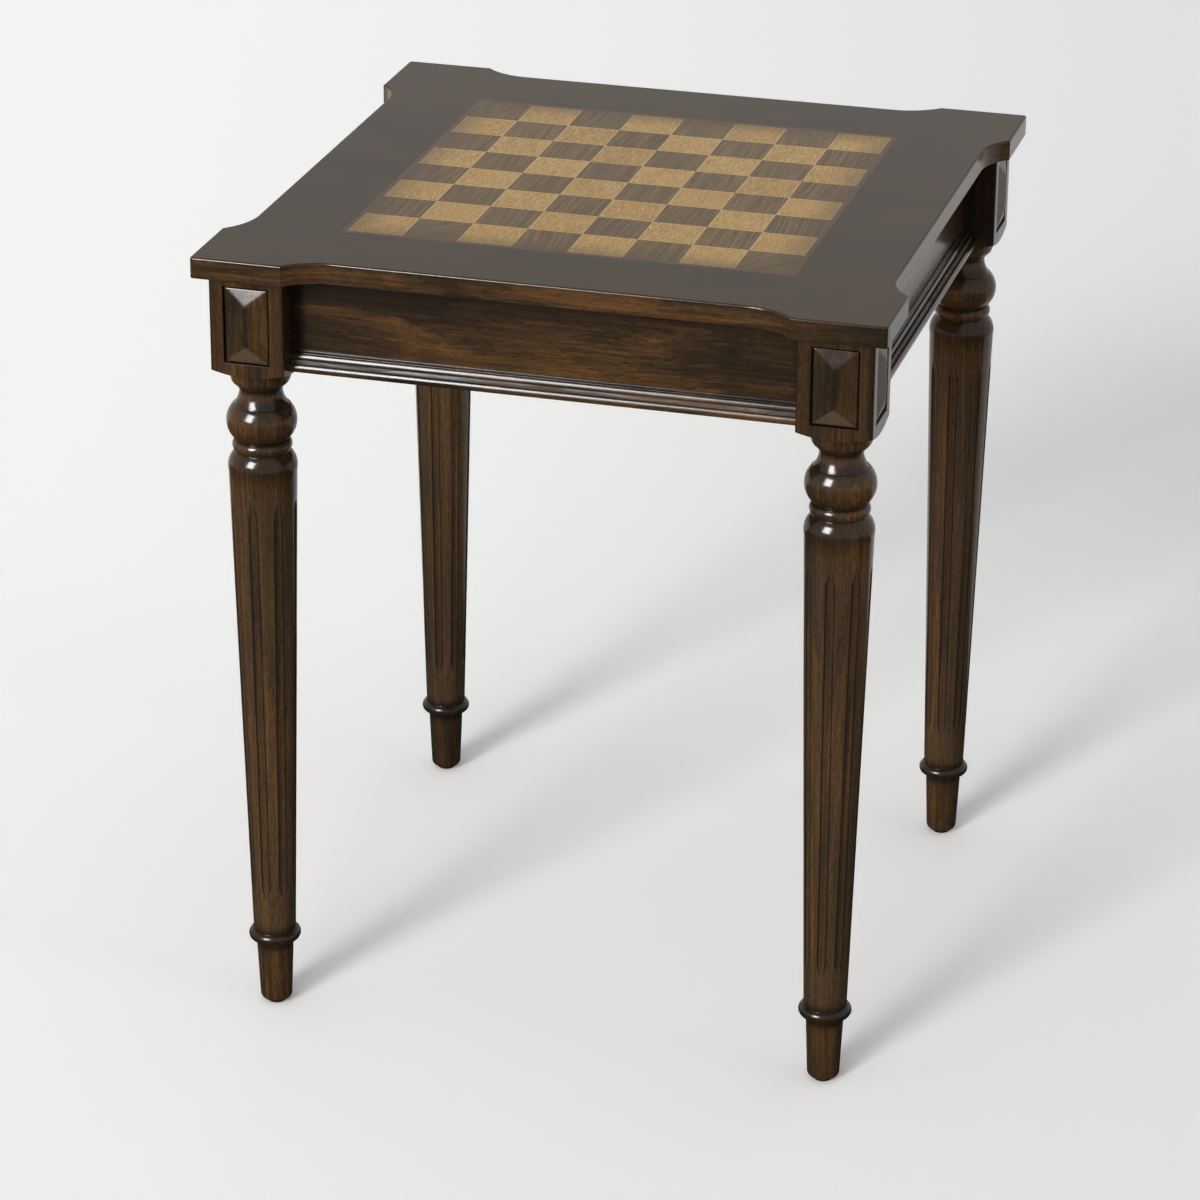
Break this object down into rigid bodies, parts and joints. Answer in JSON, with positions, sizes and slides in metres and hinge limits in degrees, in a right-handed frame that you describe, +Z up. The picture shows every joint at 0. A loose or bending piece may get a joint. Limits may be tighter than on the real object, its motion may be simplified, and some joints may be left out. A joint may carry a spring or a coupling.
{
  "type": "games table",
  "caption": "Small square wooden games table with an inlaid chessboard top, eared corners, reeded aprons and turned, fluted legs.",
  "frame": {"origin": "on the floor, under the middle of the top", "axes": "+Z up, +X along the front edge to the right, +Y from the front to the back"},
  "size_m": [0.548, 0.548, 0.66],
  "materials": {
    "stained_walnut": "dark walnut stain under a satin lacquer",
    "stained_edge": "edge of the top, stained dark, satin lacquer",
    "border_veneer": "very dark veneer, satin lacquer",
    "light_veneer": "fine-grained light veneer, satin lacquer",
    "dark_veneer": "grey-brown veneer with straight grain, satin lacquer",
    "stringing_veneer": "mid-brown veneer, satin lacquer",
    "plain_hardwood": "bare hardwood",
    "zinc_steel": "zinc-plated",
    "glide_plastic": "dark brown plastic"
  },
  "bodies": {
    "root": {"apron_back": "stained_walnut", "apron_dowels": "plain_hardwood", "apron_front": "stained_walnut", "apron_left": "stained_walnut", "apron_moulding_back": "stained_walnut", "apron_moulding_front": "stained_walnut", "apron_moulding_left": "stained_walnut", "apron_moulding_right": "stained_walnut", "apron_right": "stained_walnut", "border_veneer": "border_veneer", "brace_to_apron_screws": "zinc_steel", "brace_to_leg_screws": "zinc_steel", "corner_brace_back_left": "plain_hardwood", "corner_brace_back_right": "plain_hardwood", "corner_brace_front_left": "plain_hardwood", "corner_brace_front_right": "plain_hardwood", "dark_squares": "dark_veneer", "face_panel_back_left": "stained_walnut", "face_panel_back_right": "stained_walnut", "face_panel_front_left": "stained_walnut", "face_panel_front_right": "stained_walnut", "glide_back_left": "glide_plastic", "glide_back_right": "glide_plastic", "glide_front_left": "glide_plastic", "glide_front_right": "glide_plastic", "glide_nails": "zinc_steel", "leg_back_left": "stained_walnut", "leg_back_right": "stained_walnut", "leg_front_left": "stained_walnut", "leg_front_right": "stained_walnut", "light_squares": "light_veneer", "side_panel_back_left": "stained_walnut", "side_panel_back_right": "stained_walnut", "side_panel_front_left": "stained_walnut", "side_panel_front_right": "stained_walnut", "stringing_back": "stringing_veneer", "stringing_front": "stringing_veneer", "stringing_left": "stringing_veneer", "stringing_right": "stringing_veneer", "top_core": "stained_edge", "top_screws": "zinc_steel", "underside_veneer": "plain_hardwood"}
  },
  "joints": []
}
